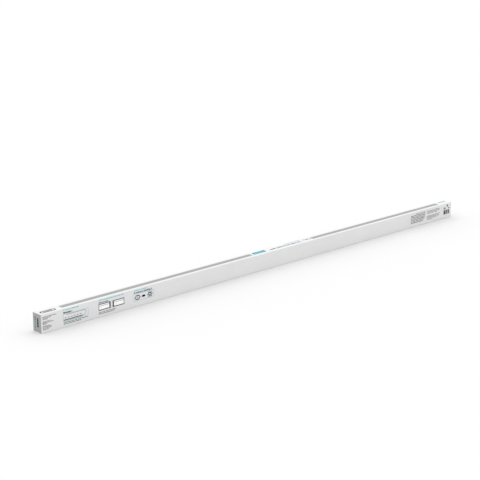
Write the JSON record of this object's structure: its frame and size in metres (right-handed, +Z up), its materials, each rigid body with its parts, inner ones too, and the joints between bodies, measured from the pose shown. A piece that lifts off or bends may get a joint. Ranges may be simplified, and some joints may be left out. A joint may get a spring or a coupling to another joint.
{
  "type": "boxed led light tube",
  "caption": "Long closed tuck-end card carton that holds a straight LED light tube in card collars; the end flaps swing open on their top creases.",
  "frame": {"origin": "middle of the carton's underside", "axes": "+X along the carton from its left end to its right end, -Y out of the printed front face, +Z up"},
  "size_m": [1.5218, 0.0316, 0.0452],
  "materials": {
    "card_print": "printed and varnished board, satin",
    "card_inside": "uncoated board, matt",
    "collar_card": "brown board, matt",
    "leaflet_paper": "thin matt paper",
    "frosted_glass": "frosted",
    "cap_plastic": "moulded, satin",
    "pin_brass": "plated, polished",
    "led_board_metal": "white solder mask",
    "led_package": "phosphor coated",
    "bond_silicone": "matt",
    "driver_laminate": "green solder mask",
    "component_black": "moulded, satin",
    "component_blue": "dipped, gloss",
    "fuse_ceramic": "matt",
    "ferrite": "matt",
    "wire_white": "satin",
    "wire_red": "satin"
  },
  "bodies": {
    "carton": {"top_panel": "card_print", "bottom_panel": "card_print", "front_panel": "card_print", "back_panel": "card_print", "glue_flap": "card_inside", "left_collar": "collar_card", "middle_collar": "collar_card", "right_collar": "collar_card", "instruction_leaflet": "leaflet_paper", "glass_tube": "frosted_glass", "left_end_cap": "cap_plastic", "right_end_cap": "cap_plastic", "left_front_pin": "pin_brass", "left_back_pin": "pin_brass", "right_front_pin": "pin_brass", "right_back_pin": "pin_brass", "led_board": "led_board_metal", "led_row": "led_package", "board_adhesive": "bond_silicone", "driver_board": "driver_laminate", "input_fuse": "fuse_ceramic", "bridge_rectifier": "component_black", "film_capacitor": "component_blue", "bulk_capacitor": "component_black", "driver_chip": "component_black", "transformer_core": "ferrite", "transformer_winding": "pin_brass", "output_choke": "ferrite", "front_supply_wire": "wire_white", "back_supply_wire": "component_black", "front_feed_wire": "wire_red", "back_feed_wire": "component_black", "right_pin_bridge": "pin_brass"},
    "left_flap": {"left_end_flap": "card_print", "left_tuck_tongue": "card_inside"},
    "left_front_dust": {"left_front_dust_flap": "card_inside"},
    "left_back_dust": {"left_back_dust_flap": "card_inside"},
    "right_flap": {"right_end_flap": "card_print", "right_tuck_tongue": "card_inside"},
    "right_front_dust": {"right_front_dust_flap": "card_inside"},
    "right_back_dust": {"right_back_dust_flap": "card_inside"}
  },
  "joints": [
    {"name": "left_flap_crease", "type": "hinge", "parent": "carton", "child": "left_flap", "pos_m": [-0.7609, 0, 0.0452], "axis": [0, 1, 0], "range_deg": [0, 180]},
    {"name": "left_front_dust_crease", "type": "hinge", "parent": "carton", "child": "left_front_dust", "pos_m": [-0.7598, -0.01465, 0.0226], "axis": [0, 0, 1], "range_deg": [0, 90]},
    {"name": "left_back_dust_crease", "type": "hinge", "parent": "carton", "child": "left_back_dust", "pos_m": [-0.7598, 0.01465, 0.0226], "axis": [0, 0, -1], "range_deg": [0, 90]},
    {"name": "right_flap_crease", "type": "hinge", "parent": "carton", "child": "right_flap", "pos_m": [0.7609, 0, 0.0452], "axis": [0, -1, 0], "range_deg": [0, 180]},
    {"name": "right_front_dust_crease", "type": "hinge", "parent": "carton", "child": "right_front_dust", "pos_m": [0.7598, -0.01465, 0.0226], "axis": [0, 0, -1], "range_deg": [0, 90]},
    {"name": "right_back_dust_crease", "type": "hinge", "parent": "carton", "child": "right_back_dust", "pos_m": [0.7598, 0.01465, 0.0226], "axis": [0, 0, 1], "range_deg": [0, 90]}
  ],
  "couplings": [
    {"joint": "left_front_dust_crease", "follows": "left_flap_crease", "ratio": 0.5},
    {"joint": "left_back_dust_crease", "follows": "left_flap_crease", "ratio": 0.5},
    {"joint": "right_front_dust_crease", "follows": "right_flap_crease", "ratio": 0.5},
    {"joint": "right_back_dust_crease", "follows": "right_flap_crease", "ratio": 0.5}
  ]
}
